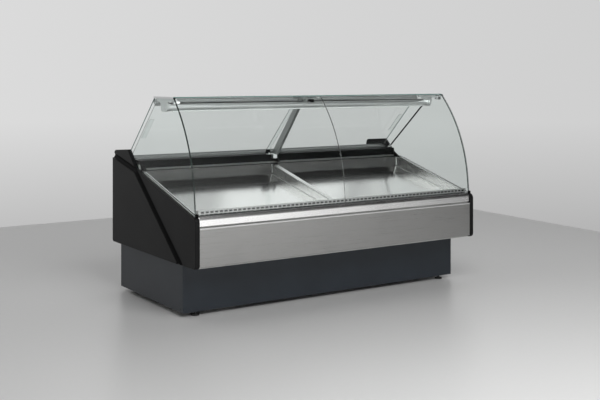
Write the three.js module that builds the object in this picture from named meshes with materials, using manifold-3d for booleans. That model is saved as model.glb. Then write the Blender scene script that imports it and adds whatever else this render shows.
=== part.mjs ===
// A refrigerated serve-over counter with lift-up curved front glass: a low plinth with the
// condensing unit, an insulated tub with a sloping two-bay deck, end panels, and a glass canopy.
// Millimetres. The group "counter" is built in the counter's own frame: X along its length with 0
// in the middle, Y = 0 at the front panel and growing to the service side, Z = 0 on the floor. It
// is then moved so that the finished part's origin is the middle of its footprint on the floor.
import * as THREE from "three";
import { mergeVertices } from "three/addons/utils/BufferGeometryUtils.js";
import Module from "manifold-3d";

const wasm = await Module();
wasm.setup();

// ---- driving dimensions ----
const LENGTH = 2100;
const FRONT_Y = -4; // front edge of the end panels
const REAR_Y = 1146; // rear edge of the end panels
const TOP_Z = 1256; // upper face of the top glass
const BODY_BOTTOM_Z = 306;
const GAP = 0.3; // between pieces that touch

const END_INNER_X = 1009.3; // inner face of an end panel
const END_OUTER_X = 1040; // outer face of its flank
const BODY_X = 1008.7; // half length of everything between the end panels
const LINER_X = 1004; // half length of the display well

const DECK_Y = [62, 771]; // front and rear edge of the deck
const DECK_FRONT_Z = 559;
const DECK_SLOPE = 0.2275;
const RIM_Z = 589; // end panel's top edge at Y = 0
const RIM_SLOPE = 0.275;
const BAY_X = [-64, -32]; // the bay divider, a little left of the middle
const TUB_REAR_Y = [806, 868]; // insulated rear wall
const RAIL_Z = [825, 851];
const RAIL_THICKNESS = 2.4;

const PLINTH_X = 1016;
const PLINTH_Y = [193, 1083];
const PLINTH_Z = [25, BODY_BOTTOM_Z - GAP];

const GLASS = 8; // curved panes and end panes
const PANE_X = 1025; // outer edge of the end panes
const PANE_FOOT = [20, 606.5]; // Y, Z of the curved pane's outer lower edge
const PANE_LOW_ANGLE = 5.7; // degrees from upright, lower straight
const PANE_HIGH_ANGLE = 41; // degrees from upright, upper straight
const PANE_RADIUS = 910;
const PANE_STRAIGHTS = [92, 56];

const DOOR_LINE = [913, 909]; // Y, Z where the end pane's rear edge leaves the end panel
const DOOR_ANGLE = 46.2; // degrees from upright, leaning forward
const DOOR_PLATE = 5;
const DOOR_V = [-62, 470]; // lower and upper edge of a door along the slope
const DOOR_U = { outer: -8, inner: -22 }; // mid-plane of each door, square to the slope
const DOOR_OVERLAP = 20; // past the middle

const TUBE = { y: 440, z: 1192, r: 21 };
const DEG = Math.PI / 180;

// ---- materials ----
const material = (color, roughness, metalness, opacity = 1) =>
  new THREE.MeshStandardMaterial({ color, roughness, metalness, opacity, transparent: opacity < 1 });
const BLACK = material(0x232424, 0.45, 0);
const STEEL = material(0x8d8e8c, 0.35, 1);
const BRIGHT_STEEL = material(0xc9cac8, 0.25, 1);
const ALUMINIUM = material(0x9a9d9c, 0.4, 1);
const GLAZING = material(0xb8c4be, 0.05, 0, 0.3);
const PLINTH_PAINT = material(0x343b43, 0.5, 0.2);
const ZINC = material(0x9c9f9e, 0.5, 0.8);
const FOAM_SKIN = material(0xcfd0cd, 0.6, 0);
const PLASTIC = material(0xd9d9d4, 0.4, 0);
const RUBBER = material(0x151515, 0.8, 0);
const COPPER = material(0xb87348, 0.4, 1);

// ---- helpers ----
const counter = new THREE.Group();
counter.position.y = -(FRONT_Y + REAR_Y) / 2;

function add(name, geometry, surface) {
  const mesh = new THREE.Mesh(geometry, surface);
  mesh.name = name;
  counter.add(mesh);
  return mesh;
}

// A closed geometry as a manifold solid, and back.
function solid(geometry) {
  const bare = geometry.clone();
  bare.deleteAttribute("normal");
  bare.deleteAttribute("uv");
  const merged = mergeVertices(bare, 1e-3);
  const vertProperties = new Float32Array(merged.attributes.position.array);
  const triVerts = new Uint32Array(merged.index.array);
  return new wasm.Manifold(new wasm.Mesh({ numProp: 3, vertProperties, triVerts }));
}

function geometryOf(manifold) {
  const mesh = manifold.getMesh();
  const geometry = new THREE.BufferGeometry();
  geometry.setAttribute("position", new THREE.BufferAttribute(mesh.vertProperties, 3));
  geometry.setIndex(new THREE.BufferAttribute(mesh.triVerts, 1));
  return geometry;
}

const join = (...geometries) =>
  geometryOf(geometries.map(solid).reduce((whole, piece) => whole.add(piece)));

const cut = (geometry, ...tools) =>
  geometryOf(tools.map(solid).reduce((left, tool) => left.subtract(tool), solid(geometry)));

const block = (x, y, z) =>
  new THREE.BoxGeometry(x[1] - x[0], y[1] - y[0], z[1] - z[0]).translate(
    (x[0] + x[1]) / 2,
    (y[0] + y[1]) / 2,
    (z[0] + z[1]) / 2,
  );

// A (y, z) shape pushed along X from x0 to x1.
const ALONG_X = new THREE.Matrix4().makeBasis(
  new THREE.Vector3(0, 1, 0),
  new THREE.Vector3(0, 0, 1),
  new THREE.Vector3(1, 0, 0),
);

function prism(shape, x0, x1) {
  const geometry = new THREE.ExtrudeGeometry(shape, { depth: x1 - x0, bevelEnabled: false });
  return geometry.applyMatrix4(ALONG_X).translate(x0, 0, 0);
}

// A closed outline through corners [y, z, radius]; a corner with a radius is rounded by an arc
// tangent to both its sides, drawn in steps of about 15 degrees.
function outline(corners) {
  const points = corners.map(([y, z, r = 0]) => ({ p: new THREE.Vector2(y, z), r }));
  const path = [];
  points.forEach(({ p, r }, i) => {
    if (r === 0) {
      path.push(p);
      return;
    }
    const inward = points.at(i - 1).p.clone().sub(p).normalize();
    const outward = points[(i + 1) % points.length].p.clone().sub(p).normalize();
    const half = Math.acos(inward.dot(outward)) / 2;
    const middle = inward.clone().add(outward).normalize();
    const centre = p.clone().addScaledVector(middle, r / Math.sin(half));
    const start = p.clone().addScaledVector(inward, r / Math.tan(half)).sub(centre);
    const turn = Math.sign(outward.cross(inward)) * (Math.PI - 2 * half);
    const steps = Math.max(1, Math.round(Math.abs(turn) / (15 * DEG)));
    for (let k = 0; k <= steps; k++)
      path.push(start.clone().rotateAround(new THREE.Vector2(), (turn * k) / steps).add(centre));
  });
  return new THREE.Shape(path);
}

// A folded sheet: the centre line offset to a constant thickness on its left-hand side.
function sheetOutline(points, thickness) {
  const line = points.map(([y, z]) => new THREE.Vector2(y, z));
  const normal = (a, b) => b.clone().sub(a).normalize().rotateAround(new THREE.Vector2(), Math.PI / 2);
  const offset = line.map((p, i) => {
    const first = i === 0 ? null : normal(line[i - 1], p);
    const second = i === line.length - 1 ? null : normal(p, line[i + 1]);
    if (!first || !second) return p.clone().addScaledVector(first ?? second, thickness);
    const middle = first.clone().add(second).normalize();
    return p.clone().addScaledVector(middle, thickness / middle.dot(first));
  });
  return new THREE.Shape([...line, ...offset.reverse()]);
}

// A cylinder along a unit axis, centred at a point.
function rod(radius, length, axis, centre, sides = 20) {
  const turn = new THREE.Quaternion().setFromUnitVectors(
    new THREE.Vector3(0, 1, 0),
    new THREE.Vector3(...axis).normalize(),
  );
  return new THREE.CylinderGeometry(radius, radius, length, sides)
    .applyQuaternion(turn)
    .translate(...centre);
}

// A turned piece: a profile of [radius, height] about a vertical axis through (x, y).
const turned = (profile, x, y, sides = 24) =>
  new THREE.LatheGeometry(
    profile.map(([r, z]) => new THREE.Vector2(r, z)),
    sides,
  )
    .rotateX(Math.PI / 2)
    .translate(x, y, 0);

const deckZ = (y) => DECK_FRONT_Z + DECK_SLOPE * (y - DECK_Y[0]);
const rimZ = (y) => RIM_Z + RIM_SLOPE * y;

const SIDES = [
  ["left", -1],
  ["right", 1],
];
const spanX = (side, near, far) => (side < 0 ? [-far, -near] : [near, far]);

// ---- base ----
const BEARER_Z = [55, 115];
const BEARER_Y = { front: [200, 240], rear: [1036, 1076] };
const POST_X = [955, 995];

function makeBase() {
  for (const [place, y] of Object.entries(BEARER_Y)) {
    add(`base_bearer_${place}`, block([-1000, 1000], y, BEARER_Z), ZINC);
    for (const [hand, side] of SIDES) {
      const x = spanX(side, ...POST_X);
      add(
        `base_post_${place}_${hand}`,
        block(x, y, [BEARER_Z[1] + GAP, BODY_BOTTOM_Z - GAP]),
        ZINC,
      );
      add(`foot_${place}_${hand}`, levellingFoot(side * 925, (y[0] + y[1]) / 2), ZINC);
    }
  }
}

function levellingFoot(x, y) {
  const profile = [
    [0, 0],
    [24, 0],
    [25, 3],
    [24, 8],
    [12, 13],
    [8, 14],
    [8, 30],
    [14, 30],
    [14, 40],
    [8, 40],
    [8, BEARER_Z[0] - GAP],
    [0, BEARER_Z[0] - GAP],
  ];
  return turned(profile, x, y, 16);
}

function makePlinth() {
  const skin = 3;
  add(
    "plinth_front_panel",
    block([-PLINTH_X, PLINTH_X], [PLINTH_Y[0], PLINTH_Y[0] + skin], PLINTH_Z),
    PLINTH_PAINT,
  );
  for (const [hand, side] of SIDES) {
    const y = [PLINTH_Y[0] + skin + GAP, PLINTH_Y[1] - skin - GAP];
    add(`plinth_${hand}_panel`, block(spanX(side, PLINTH_X - skin, PLINTH_X), y, PLINTH_Z), PLINTH_PAINT);
  }
  const louvres = [];
  for (const centre of [-620, -310, 0, 310, 620])
    for (let row = 0; row < 8; row++) {
      const z = 78 + row * 26;
      louvres.push(block([centre - 110, centre + 110], [PLINTH_Y[1] - 2 * skin, PLINTH_Y[1] + skin], [z, z + 8]));
    }
  add(
    "plinth_rear_grille",
    cut(block([-PLINTH_X, PLINTH_X], [PLINTH_Y[1] - skin, PLINTH_Y[1]], PLINTH_Z), ...louvres),
    PLINTH_PAINT,
  );
}

// ---- condensing unit ----
const UNIT = { fanX: 140, fanY: 928, fanZ: 188, fanR: 88, hoodY: [916, 940], coilY: [940.4, 1000] };

function fanGeometry(x, y, z, radius, hub, depth, blades) {
  const pieces = [rod(hub, depth, [0, 1, 0], [x, y, z], 16)];
  for (let i = 0; i < blades; i++) {
    const blade = new THREE.BoxGeometry(radius - hub + 4, 3, radius * 0.45);
    blade.rotateX(25 * DEG).translate((radius + hub - 4) / 2, 0, 0);
    blade.rotateY((i * 360 * DEG) / blades).translate(x, y, z);
    pieces.push(blade);
  }
  return join(...pieces);
}

function makeCondensingUnit() {
  const trayY = [BEARER_Y.front[1] + GAP, BEARER_Y.rear[0] - GAP];
  const { fanX, fanY, fanZ, fanR, hoodY, coilY } = UNIT;
  add("unit_tray", block([-430, 430], trayY, [70, 74]), ZINC);
  const pot = [
    [0, 96],
    [76, 96],
    [84, 106],
    [84, 190],
    [80, 232],
    [62, 258],
    [26, 268],
    [0, 269],
  ];
  add(
    "compressor",
    join(
      turned(pot, -230, 560),
      block([-320, -140], [480, 640], [74 + GAP, 78]),
      block([-250, -210], [540, 580], [77, 100]),
      rod(9, 60, [0, 1, 0], [-230, 665, 200], 12),
    ),
    RUBBER,
  );
  add("condenser_coil", block([-40, 320], coilY, [74 + GAP, 292]), COPPER);
  const ringY = (hoodY[0] + hoodY[1]) / 2;
  add(
    "condenser_fan_shroud",
    cut(
      join(
        block([-40, 320], [hoodY[1] - 4, hoodY[1]], [74 + GAP, 292]),
        rod(fanR + 10, hoodY[1] - hoodY[0], [0, 1, 0], [fanX, ringY, fanZ], 32),
      ),
      rod(fanR + 6, 60, [0, 1, 0], [fanX, ringY, fanZ], 32),
    ),
    ZINC,
  );
  const armsY = [hoodY[0] - 8 - GAP, hoodY[0] - GAP];
  add(
    "condenser_fan_motor",
    join(
      block([fanX - fanR - 9, fanX + fanR + 9], armsY, [fanZ - 7, fanZ + 7]),
      rod(32, 43, [0, 1, 0], [fanX, armsY[0] - 21, fanZ], 20),
    ),
    ZINC,
  );
  add("condenser_fan", fanGeometry(fanX, fanY, fanZ, fanR, 20, 20, 5), PLASTIC);
}

// ---- insulated body ----
function makeTub() {
  const profile = outline([
    [20, BODY_BOTTOM_Z],
    [TUB_REAR_Y[1], BODY_BOTTOM_Z],
    [TUB_REAR_Y[1], RAIL_Z[0] - GAP],
    [TUB_REAR_Y[0], RAIL_Z[0] - GAP],
    [TUB_REAR_Y[0], 378, 12],
    [58, 362, 12],
    [58, 552],
    [20, 552],
  ]);
  add("insulated_tub", prism(profile, -BODY_X, BODY_X), FOAM_SKIN);

  const [deckFront, deckRear] = DECK_Y;
  for (const [hand, side] of SIDES) {
    const wall = outline([
      [60, 380],
      [803, 395],
      [803, 776],
      [788, 782],
      [712, rimZ(712) + 2],
      [60, rimZ(60) + 2],
    ]);
    const ledge = outline([
      [deckFront + 6, deckZ(deckFront + 6) - 26],
      [740, deckZ(740) - 26],
      [740, deckZ(740) - 20.4],
      [deckFront + 6, deckZ(deckFront + 6) - 20.4],
    ]);
    const wallX = spanX(side, LINER_X + GAP, BODY_X);
    const ledgeX = spanX(side, LINER_X - 18, LINER_X + 2);
    add(`side_liner_${hand}`, join(prism(wall, ...wallX), prism(ledge, ...ledgeX)), BRIGHT_STEEL);
  }

  const duct = sheetOutline(
    [
      [774, 640],
      [774, 789],
      [802.5, 820],
      [802.5, 824],
    ],
    -1.6,
  );
  add("rear_air_duct_panel", prism(duct, -LINER_X, LINER_X), BRIGHT_STEEL);

  const pan = sheetOutline(
    [
      [deckFront, deckZ(deckFront) - 20],
      [deckFront, deckZ(deckFront)],
      [deckRear, deckZ(deckRear)],
      [deckRear, deckZ(deckRear) - 20],
    ],
    -1.5,
  );
  add("deck_pan_left", prism(pan, -LINER_X + 1, BAY_X[0] - 1), BRIGHT_STEEL);
  add("deck_pan_right", prism(pan, BAY_X[1] + 1, LINER_X - 1), BRIGHT_STEEL);

  const divider = outline([
    [deckFront, deckZ(deckFront) - 30],
    [deckRear, deckZ(deckRear) - 30],
    [deckRear, 787],
    [deckFront, rimZ(deckFront) + 4],
  ]);
  add("bay_divider", prism(divider, ...BAY_X), BRIGHT_STEEL);
}

function makeEvaporator() {
  const floorZ = 379;
  add(
    "evaporator_coil",
    join(
      block([-780, 780], [560, 745], [floorZ + 12, 560]),
      block([-786, -776], [556, 749], [floorZ, 566]),
      block([776, 786], [556, 749], [floorZ, 566]),
      rod(8, 60, [1, 0, 0], [800, 600, 430], 10),
      rod(8, 60, [1, 0, 0], [800, 700, 520], 10),
    ),
    ALUMINIUM,
  );
  const plateY = [498, 501];
  const fanZ = 490;
  const holes = [-480, 480].map((x) => rod(100, 40, [0, 1, 0], [x, plateY[0], fanZ], 28));
  const mounts = [-480, 480].flatMap((x) => [
    block([x - 108, x + 108], [plateY[1] - 1, plateY[1] + 5], [fanZ - 8, fanZ + 8]),
    rod(30, 44, [0, 1, 0], [x, plateY[1] + 24, fanZ], 16),
  ]);
  const plate = block([-LINER_X + 22, LINER_X - 22], plateY, [376, deckZ(plateY[0]) - 32]);
  add("evaporator_fan_plate", join(cut(plate, ...holes), ...mounts), ZINC);
  for (const [hand, side] of SIDES) {
    const geometry = fanGeometry(side * 480, plateY[0] - 13, fanZ, 92, 18, 26, 4);
    add(`evaporator_fan_${hand}`, geometry, PLASTIC);
  }
}

function makeFront() {
  const panel = sheetOutline(
    [
      [17, 315],
      [0, 315],
      [0, 533],
      [17, 533],
    ],
    -1.5,
  );
  add("front_panel", prism(panel, -BODY_X, BODY_X), STEEL);

  const nose = outline([
    [5, 541, 2],
    [12, 605, 20],
    [54, 605, 1],
    [54, 552 + GAP],
    [19.7, 552 + GAP],
    [19.7, 541],
  ]);
  add("front_nose", prism(nose, -BODY_X, BODY_X), BRIGHT_STEEL);

  const strip = sheetOutline(
    [
      [36, 605 + GAP],
      [36, 629],
      [59.5, 625],
      [59.5, 560],
    ],
    -1.2,
  );
  const slots = [];
  for (let x = -975; x < 985; x += 30) slots.push(block([x - 9, x + 9], [30, 42], [613, 618]));
  add("front_air_grille", cut(prism(strip, -LINER_X + 1, LINER_X - 1), ...slots), BRIGHT_STEEL);
}

// ---- end panels ----
const FLANK = outline([
  [FRONT_Y, BODY_BOTTOM_Z, 24],
  [REAR_Y, BODY_BOTTOM_Z, 18],
  [REAR_Y, 899, 10],
  [926, 915, 8],
  [806, 802, 30],
  [720, rimZ(720)],
  [FRONT_Y, rimZ(FRONT_Y), 34],
]);
const BULGE = outline([
  [184, BODY_BOTTOM_Z + 2, 4],
  [REAR_Y - 1, BODY_BOTTOM_Z + 2, 17],
  [REAR_Y - 1, 857, 6],
  [800, 785, 70],
]);

function endPanel(side) {
  const flank = prism(FLANK, ...spanX(side, END_INNER_X, END_OUTER_X));
  const bulge = prism(BULGE, ...spanX(side, END_OUTER_X - 1, LENGTH / 2));
  return join(flank, bulge);
}

function makeEnds() {
  for (const [hand, side] of SIDES) add(`end_panel_${hand}`, endPanel(side), BLACK);
}

// ---- service side ----
// A point on the rear door slope: u square to it (outwards), v up along it.
function onSlope(u, v) {
  const across = [Math.cos(DOOR_ANGLE * DEG), Math.sin(DOOR_ANGLE * DEG)];
  const along = [-Math.sin(DOOR_ANGLE * DEG), Math.cos(DOOR_ANGLE * DEG)];
  return [
    DOOR_LINE[0] + u * across[0] + v * along[0],
    DOOR_LINE[1] + u * across[1] + v * along[1],
  ];
}

const slopeRectangle = (u, v) =>
  outline([onSlope(u[0], v[0]), onSlope(u[1], v[0]), onSlope(u[1], v[1]), onSlope(u[0], v[1])]);

const slot = (u, v, x) => prism(slopeRectangle([u - 3.6, u + 3.6], v), -x - 5, x + 5);

function makeServiceSide() {
  const rail = sheetOutline(
    [
      [TUB_REAR_Y[0] - 3, RAIL_Z[0]],
      [TUB_REAR_Y[0] - 3, RAIL_Z[1]],
      [899, RAIL_Z[1]],
      [899, RAIL_Z[0] + 10],
    ],
    -RAIL_THICKNESS,
  );
  add("rear_rail", prism(rail, -BODY_X, BODY_X), BLACK);

  const sill = outline([
    [900, 832],
    [968, 832],
    [968, 868, 3],
    [950, 876, 3],
    [903, 863, 2],
    [903, RAIL_Z[1] + GAP],
    [900, RAIL_Z[1] + GAP],
  ]);
  const sillSlots = Object.values(DOOR_U).map((u) => slot(u, [DOOR_V[0] - 3, 0], BODY_X));
  add("door_sill_track", cut(prism(sill, -BODY_X, BODY_X), ...sillSlots), ALUMINIUM);

  const head = slopeRectangle([-31, 1], [452, 481]);
  const headSlots = Object.values(DOOR_U).map((u) => slot(u, [440, 474], BODY_X + 10));
  const headX = PANE_X - GLASS - GAP;
  add("door_head_track", cut(prism(head, -headX, headX), ...headSlots), ALUMINIUM);

  const worktop = sheetOutline(
    [
      [970, 838],
      [970, 867],
      [1141, 860],
      [1141, 829],
    ],
    -2,
  );
  add("rear_worktop", prism(worktop, -BODY_X, BODY_X), STEEL);
  const rearPanel = block([-BODY_X, BODY_X], [1128, 1131], [320, 853]);
  add("rear_panel", rearPanel, ZINC);
}

const SWITCH = { x: 700, y: 1140.5, z: 770 };

function makeControls() {
  const plateY = [1131.3, 1141];
  const { x, y, z } = SWITCH;
  const recess = block([x - 12, x + 12], [1133, 1150], [z - 17, z + 17]);
  const screen = block([800, 880], [1138, 1150], [z - 16, z + 16]);
  add("control_panel", cut(block([600, 940], plateY, [z - 50, z + 50]), recess, screen), BLACK);
  const rocker = outline([
    [y - 4, z - 14],
    [y + 3.6, z - 14],
    [y + 1, z],
    [y + 5, z + 14],
    [y - 2, z + 14],
    [y - 6, z],
  ]);
  add("light_switch", prism(rocker, x - 11, x + 11), RUBBER);
  add("temperature_display", block([801, 879], [1138.3, 1143], [z - 15, z + 15]), BLACK);
}

function makeDoors() {
  const spans = {
    left: { x: [-LINER_X + 2, DOOR_OVERLAP], u: DOOR_U.outer, grip: [-990, -960] },
    right: { x: [-DOOR_OVERLAP, LINER_X - 2], u: DOOR_U.inner, grip: [960, 990] },
  };
  for (const [hand, { x, u, grip }] of Object.entries(spans)) {
    const half = DOOR_PLATE / 2;
    add(`rear_door_${hand}`, prism(slopeRectangle([u - half, u + half], DOOR_V), ...x), GLAZING);
    const pull = slopeRectangle([u + half + GAP, u + half + 7], [120, 300]);
    add(`door_pull_${hand}`, prism(pull, ...grip), ALUMINIUM);
  }
}

// ---- glass canopy ----
// The curved pane's outer face as [y, z] points, set in by an offset: lower straight, arc, upper
// straight. Angles are measured from upright.
function paneCurve(offset, footZ = PANE_FOOT[1], steps = 12) {
  const low = PANE_LOW_ANGLE * DEG;
  const high = PANE_HIGH_ANGLE * DEG;
  const points = [];
  const start = [
    PANE_FOOT[0] + PANE_STRAIGHTS[0] * Math.sin(low),
    PANE_FOOT[1] + PANE_STRAIGHTS[0] * Math.cos(low),
  ];
  const centre = [start[0] + PANE_RADIUS * Math.cos(low), start[1] - PANE_RADIUS * Math.sin(low)];
  const reach = PANE_RADIUS - offset;
  for (let i = 0; i <= steps; i++) {
    const angle = low + ((high - low) * i) / steps;
    points.push([centre[0] - reach * Math.cos(angle), centre[1] + reach * Math.sin(angle)]);
  }
  const first = points[0];
  const last = points.at(-1);
  const drop = (first[1] - footZ) / Math.cos(low);
  points.unshift([first[0] - drop * Math.sin(low), footZ]);
  points.push([
    last[0] + PANE_STRAIGHTS[1] * Math.sin(high),
    last[1] + PANE_STRAIGHTS[1] * Math.cos(high),
  ]);
  return points;
}

function makeFrontGlass() {
  const shape = outline([...paneCurve(0), ...paneCurve(GLASS).reverse()]);
  for (const [hand, side] of SIDES) {
    const pane = prism(shape, ...spanX(side, 1.5, PANE_X));
    const corner = prism(FLANK, ...spanX(side, END_INNER_X - 1.5, END_OUTER_X)).translate(0, 0, 1.5);
    add(`front_glass_${hand}`, cut(pane, corner), GLAZING);
  }
}

function makeEndGlass() {
  const top = TOP_Z - 6 - GAP;
  const face = outline([
    ...paneCurve(GLASS + 2, 560),
    [300, top],
    [onSlope(0, 0)[0] + (DOOR_LINE[1] - top) * Math.tan(DOOR_ANGLE * DEG), top],
    onSlope(0, 0),
    onSlope(0, -40),
  ]);
  for (const [hand, side] of SIDES) {
    const pane = prism(face, ...spanX(side, PANE_X - GLASS, PANE_X));
    const rest = prism(FLANK, ...spanX(side, END_INNER_X - 5, END_OUTER_X)).translate(0, 0, 0.4);
    add(`end_glass_${hand}`, cut(pane, rest), GLAZING);
  }
}

function makeCanopy() {
  const bottom = TOP_Z - 6;
  add("top_glass", block([-PANE_X, PANE_X], [298, 566], [bottom, TOP_Z]), GLAZING);

  const barY = [298, 534];
  const barZ = [1226, bottom - GAP];
  const bracket = outline([
    [barY[0], barZ[1]],
    [barY[0], barZ[0] + 6, 3],
    [392, barZ[0], 6],
    [402, 1168, 14],
    [478, 1168, 14],
    [490, barZ[0], 6],
    [514, barZ[0]],
    [barY[1], barZ[1]],
  ]);
  const bracketX = [LINER_X, PANE_X - GLASS - GAP];
  for (const [hand, side] of SIDES)
    add(`end_bracket_${hand}`, prism(bracket, ...spanX(side, ...bracketX)), ALUMINIUM);

  const midBar = outline([
    [barY[0], barZ[1]],
    [barY[0], barZ[0] + 8],
    [514, barZ[0] + 2],
    [barY[1], barZ[1]],
  ]);
  const hanger = block([-22, -6], [TUBE.y - 12, TUBE.y + 12], [TUBE.z + TUBE.r + GAP, barZ[0] + 6]);
  const yoke = block([-66, -4], [420, 512], [barZ[0] + 3, barZ[1]]);
  add("middle_bracket", join(prism(midBar, -8, 8), hanger, yoke), ALUMINIUM);

  const tubeX = LINER_X - GAP;
  add("canopy_tube", rod(TUBE.r, 2 * tubeX, [1, 0, 0], [0, TUBE.y, TUBE.z], 28), ALUMINIUM);
  const lens = outline([
    [TUBE.y - 11, TUBE.z - 26, 1.5],
    [TUBE.y + 11, TUBE.z - 26, 1.5],
    [TUBE.y + 9, TUBE.z - TUBE.r - GAP],
    [TUBE.y - 9, TUBE.z - TUBE.r - GAP],
  ]);
  add("lamp_lens", prism(lens, -960, 960), PLASTIC);
}

// The inclined post between the rear rail and the middle bracket, and the lamp's cable conduit.
function makePosts() {
  const lean = 40 * DEG;
  const width = 40;
  const heel = 873; // where the straight post starts, above its foot
  const topZ = 1228;
  const frontY = 728;
  const topY = frontY - (topZ - heel) * Math.tan(lean);
  const shiftY = width / Math.cos(lean);
  const footZ = RAIL_Z[1] + GAP;
  const post = outline([
    [frontY + 22, footZ],
    [846, footZ],
    [846, footZ + 7],
    [frontY + shiftY + 14, heel],
    [topY + shiftY, topZ],
    [topY, topZ],
    [frontY, heel],
  ]);
  const saddle = rod(TUBE.r + GAP, 60, [1, 0, 0], [-37, TUBE.y, TUBE.z], 28);
  add("middle_post", cut(prism(post, -47, -27), saddle), ALUMINIUM);

  const foot = [847, RAIL_Z[1] + 0.6];
  const offY = foot[0] - TUBE.y;
  const offZ = foot[1] - TUBE.z;
  const length = Math.hypot(offY, offZ);
  const axis = [0, offY / length, offZ / length];
  const nearTube = TUBE.r + 0.6;
  const clear = 4; // the square-cut lower end stays above the rail
  const span = length - nearTube - clear - 2;
  const middle = nearTube + span / 2;
  const centre = [992, TUBE.y + axis[1] * middle, TUBE.z + axis[2] * middle];
  add("lamp_conduit", rod(5, span, axis, centre, 12), BLACK);
}

makeBase();
makePlinth();
makeCondensingUnit();
makeTub();
makeEvaporator();
makeFront();
makeEnds();
makeServiceSide();
makeControls();
makeDoors();
makeFrontGlass();
makeEndGlass();
makeCanopy();
makePosts();

export default counter;
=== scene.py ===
import math

import bmesh
import bpy
from mathutils import Matrix, Vector


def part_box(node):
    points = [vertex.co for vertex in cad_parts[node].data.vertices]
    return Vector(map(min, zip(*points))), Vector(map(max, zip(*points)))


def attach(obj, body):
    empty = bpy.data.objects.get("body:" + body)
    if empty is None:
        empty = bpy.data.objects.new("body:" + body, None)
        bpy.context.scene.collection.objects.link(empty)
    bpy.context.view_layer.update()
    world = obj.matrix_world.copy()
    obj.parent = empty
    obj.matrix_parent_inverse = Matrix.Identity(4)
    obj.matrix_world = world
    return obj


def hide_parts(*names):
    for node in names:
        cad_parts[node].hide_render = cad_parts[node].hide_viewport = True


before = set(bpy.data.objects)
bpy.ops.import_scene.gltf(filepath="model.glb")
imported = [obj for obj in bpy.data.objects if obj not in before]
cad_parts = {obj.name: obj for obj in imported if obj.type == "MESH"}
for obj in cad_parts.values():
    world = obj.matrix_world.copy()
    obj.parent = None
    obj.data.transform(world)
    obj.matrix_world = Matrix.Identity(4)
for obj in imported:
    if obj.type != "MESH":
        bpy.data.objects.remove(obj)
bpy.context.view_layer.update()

# Looks for a curved-glass refrigerated serve-over counter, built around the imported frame.
# Metres. X runs along the counter, +Y towards the service side, +Z up. Outlines are lists of
# (y, z) or (y, z, corner radius), with y counted from the front panel's face.
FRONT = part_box("front_panel")[0].y
SIDES = (("left", -1), ("right", 1))
QUARTER = math.pi / 2

BODY_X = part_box("front_panel")[1].x
END_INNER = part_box("end_panel_right")[0].x
END_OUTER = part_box("end_panel_right")[1].x
LINER_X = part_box("side_liner_right")[1].x - 0.0044  # the liner's face towards the well
FLANK_X = END_OUTER - 0.011  # the flank's face; the raised field stands out from it
DECK_SLOPE = 0.2275
DECK = (0.062, 0.771)  # the deck's front and rear edge
DECK_FRONT_Z = 0.559
RIM_SLOPE = 0.275
RIM_Z = 0.589
DOOR_ANGLE = math.radians(46.2)
DOOR_FOOT = (0.913, 0.909)
DOOR_TRACKS = {"left": -0.008, "right": -0.022}  # each door's middle, square to the slope


def scene_link(obj):
    bpy.context.scene.collection.objects.link(obj)
    return obj


def on_deck(y, lift=0.0):
    """A point on the sloping deck, or lifted from it."""
    return y, DECK_FRONT_Z + DECK_SLOPE * (y - DECK[0]) + lift


def deck_band(y0, y1, low, high):
    """The outline of a band along the deck, between two heights from it."""
    return rounded([on_deck(y0, low), on_deck(y1, low), on_deck(y1, high), on_deck(y0, high)])


def rim_z(y):
    return RIM_Z + RIM_SLOPE * y


def span_x(side, near, far):
    """The two ends along X, in order, of what lies between two distances from the middle."""
    return sorted((side * near, side * far))


# ---- materials

NOISE_LOW, NOISE_HIGH = 0.3, 0.7  # between these lies nearly all of a noise's range


class Shader:
    """A material with one Principled shader and short calls for the nodes that feed it."""

    def __init__(self, name, color, roughness, metallic=0.0, **sockets):
        self.material = bpy.data.materials.new(name)
        self.material.use_nodes = True
        self.tree = self.material.node_tree
        self.bsdf = self.tree.nodes["Principled BSDF"]
        self.set("Base Color", (*color, 1))
        self.set("Roughness", roughness)
        self.set("Metallic", metallic)
        for socket, value in sockets.items():
            self.set(socket.replace("_", " "), value)
        self.coords = self.node("ShaderNodeTexCoord").outputs["Object"]

    def set(self, socket, value):
        self.bsdf.inputs[socket].default_value = value

    def node(self, kind, inputs=None, **settings):
        made = self.tree.nodes.new(kind)
        for key, value in settings.items():
            setattr(made, key, value)
        for key, value in (inputs or {}).items():
            if isinstance(value, bpy.types.NodeSocket):
                self.tree.links.new(value, made.inputs[key])
            else:
                made.inputs[key].default_value = value
        return made

    def noise(self, scale, detail=3.0, stretch=(1, 1, 1), roughness=0.5):
        """Noise in metres: scale is features per metre, stretch squeezes it along an axis."""
        vector = self.node("ShaderNodeMapping", {"Vector": self.coords, "Scale": stretch})
        inputs = {"Scale": scale, "Detail": detail, "Roughness": roughness}
        inputs["Vector"] = vector.outputs[0]
        return self.node("ShaderNodeTexNoise", inputs).outputs["Fac"]

    def spread(self, value, low, high):
        """The value mapped to the range from low to high."""
        inputs = {"Value": value, 1: NOISE_LOW, 2: NOISE_HIGH, 3: low, 4: high}
        return self.node("ShaderNodeMapRange", inputs).outputs[0]

    def tint(self, value, dark, light, start=NOISE_LOW, end=NOISE_HIGH):
        """The value mapped to a colour between dark and light."""
        ramp = self.node("ShaderNodeValToRGB", {"Fac": value})
        ramp.color_ramp.elements[0].position = start
        ramp.color_ramp.elements[1].position = end
        ramp.color_ramp.elements[0].color = (*dark, 1)
        ramp.color_ramp.elements[1].color = (*light, 1)
        return ramp.outputs["Color"]

    def feed(self, socket, output):
        self.tree.links.new(output, self.bsdf.inputs[socket])
        return self

    def bump(self, height, strength, distance):
        inputs = {"Height": height, "Strength": strength, "Distance": distance}
        return self.feed("Normal", self.node("ShaderNodeBump", inputs).outputs["Normal"])


def scaled(color, factor):
    return tuple(channel * factor for channel in color)


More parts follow.
